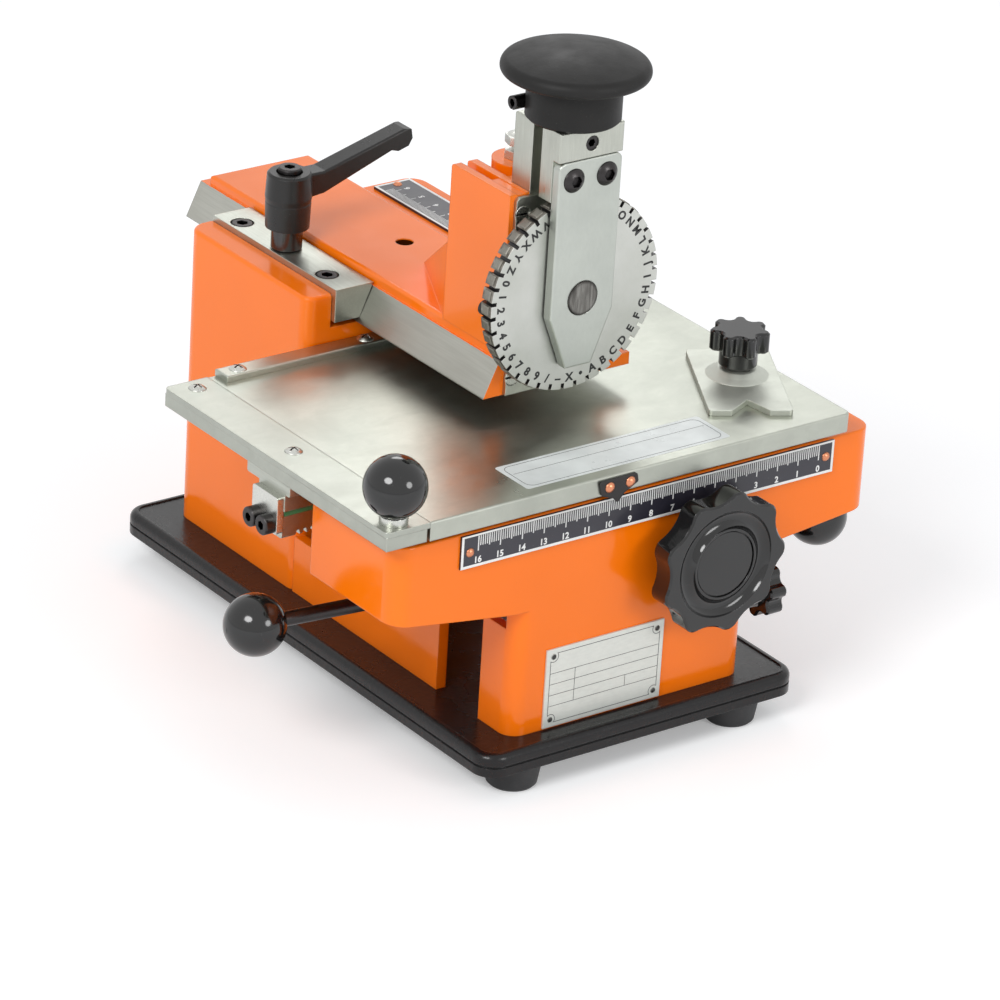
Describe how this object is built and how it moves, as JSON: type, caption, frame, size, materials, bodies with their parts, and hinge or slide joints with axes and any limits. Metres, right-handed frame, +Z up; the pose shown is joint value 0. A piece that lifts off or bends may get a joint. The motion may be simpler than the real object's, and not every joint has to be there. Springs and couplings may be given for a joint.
{
  "type": "nameplate marking machine",
  "caption": "Table-top nameplate marking machine with sliding table, sliding arm, mushroom hand press and slotted character wheel.",
  "frame": {"origin": "centre of the footprint on the surface that the rubber feet stand on", "axes": "+X to the operator's right, +Y away from the operator, +Z up"},
  "size_m": [0.2678, 0.2784, 0.2674],
  "materials": {
    "orange_paint": "glossy thick enamel on cast metal",
    "black_paint": "glossy black enamel",
    "rubber": "matt moulded rubber",
    "zinc_steel": "bright zinc plate",
    "ground_steel": "ground and milled steel",
    "brushed_cover": "long brushed lines",
    "black_plastic": "glossy black moulding",
    "matt_plastic": "matt black moulding",
    "black_steel": "black oxide steel",
    "copper": "copper rivet",
    "dark_scale": "printed metal scale",
    "bare_label": "satin bare plate",
    "green_strip": "green slide strip",
    "cast_iron": "machined iron",
    "brass": "turned brass"
  },
  "bodies": {
    "frame": {"base_plate": "black_paint", "rubber_feet": "rubber", "foot_screws": "zinc_steel", "body_casting": "orange_paint", "body_bolts": "black_steel", "scale_plate": "dark_scale", "scale_rivets": "copper", "name_plate": "bare_label", "name_pins": "black_steel", "arm_ruler": "dark_scale", "gib_bar": "ground_steel", "gib_screws": "black_steel", "clamp_stud": "zinc_steel", "shaft_bushes": "brass", "rail_bed": "cast_iron", "bed_screws": "black_steel", "lever_pin": "zinc_steel"},
    "clamp_lever": {"clamp_lever": "matt_plastic", "lever_screw": "black_steel", "clamp_collar": "black_steel"},
    "arm": {"arm_casting": "orange_paint", "retainer_plate": "ground_steel", "retainer_screws": "zinc_steel", "stop_screw": "zinc_steel", "stop_nut": "zinc_steel", "return_spring": "black_steel"},
    "press": {"press_ram": "ground_steel", "palm_handle": "matt_plastic", "palm_stud": "zinc_steel", "cross_pin": "black_steel", "block_set_screw": "black_steel", "cover_plate": "brushed_cover", "cover_screws": "black_steel", "wheel_axle": "ground_steel", "detent_spring": "black_steel"},
    "wheel": {"char_wheel": "zinc_steel", "type_faces": "ground_steel"},
    "table": {"table_plate": "zinc_steel", "table_strip": "zinc_steel", "table_screws": "zinc_steel", "fence_bar": "zinc_steel", "table_knob": "black_plastic", "table_knob_stem": "zinc_steel", "pointer": "black_steel", "pointer_rivets": "copper", "table_rail": "ground_steel", "rail_liner": "green_strip", "rack_bar": "ground_steel", "rack_screws": "zinc_steel", "rack_plates": "zinc_steel", "clamp_bolt": "zinc_steel"},
    "handwheel": {"handwheel": "black_plastic", "hw_shaft": "zinc_steel", "pinion": "ground_steel"},
    "cross_lever": {"cross_lever": "black_steel", "lever_balls": "black_plastic"},
    "lock_plunger": {"lock_plunger": "zinc_steel"},
    "side_knob": {"side_knob": "black_plastic"},
    "work_clamp": {"work_clamp": "zinc_steel"},
    "clamp_knob": {"clamp_knob": "black_plastic"}
  },
  "joints": [
    {"name": "arm_slide", "type": "slide", "parent": "frame", "child": "arm", "axis": [0, 1, 0], "range_m": [-0.055, 0.07]},
    {"name": "press_slide", "type": "slide", "parent": "arm", "child": "press", "axis": [0, 0, 1], "range_m": [-0.011, 0], "stiffness_N_per_m": 1200, "springref_m": 0.02, "deforming": ["return_spring"]},
    {"name": "wheel_turn", "type": "hinge", "parent": "press", "child": "wheel", "pos_m": [0.0124, -0.07195, 0.172], "axis": [0, 1, 0], "continuous": true},
    {"name": "table_slide", "type": "slide", "parent": "frame", "child": "table", "axis": [1, 0, 0], "range_m": [-0.028, 0.0996]},
    {"name": "handwheel_turn", "type": "hinge", "parent": "frame", "child": "handwheel", "pos_m": [0.0424, -0.13425, 0.0795], "axis": [0, 1, 0], "range_deg": [-146, 519]},
    {"name": "lever_swing", "type": "hinge", "parent": "frame", "child": "cross_lever", "pos_m": [0.0144, -0.08435, 0.064], "axis": [0, 0, 1], "range_deg": [0, 13.5], "stiffness_Nm_per_rad": 1.5, "springref_deg": -14.32},
    {"name": "plunger_slide", "type": "slide", "parent": "frame", "child": "lock_plunger", "axis": [0, 1, 0], "range_m": [-0.0006, 0]},
    {"name": "clamp_lever_turn", "type": "hinge", "parent": "frame", "child": "clamp_lever", "pos_m": [-0.0226, 0.06325, 0.162], "axis": [0, 0, 1], "range_deg": [0, 110]},
    {"name": "side_knob_turn", "type": "hinge", "parent": "frame", "child": "side_knob", "pos_m": [0.0784, -0.11325, 0.0484], "axis": [1, 0, 0], "range_deg": [-180, 180]},
    {"name": "work_clamp_swing", "type": "hinge", "parent": "table", "child": "work_clamp", "pos_m": [0.09094, -0.07903, 0.122], "axis": [0, 0, 1], "range_deg": [-10, 25]},
    {"name": "clamp_knob_turn", "type": "hinge", "parent": "table", "child": "clamp_knob", "pos_m": [0.09094, -0.07903, 0.137], "axis": [0, 0, 1], "range_deg": [-180, 180]}
  ],
  "couplings": [
    {"joint": "handwheel_turn", "follows": "table_slide", "rad_per_m": 90.909},
    {"joint": "plunger_slide", "follows": "lever_swing", "m_per_rad": -0.0022}
  ]
}
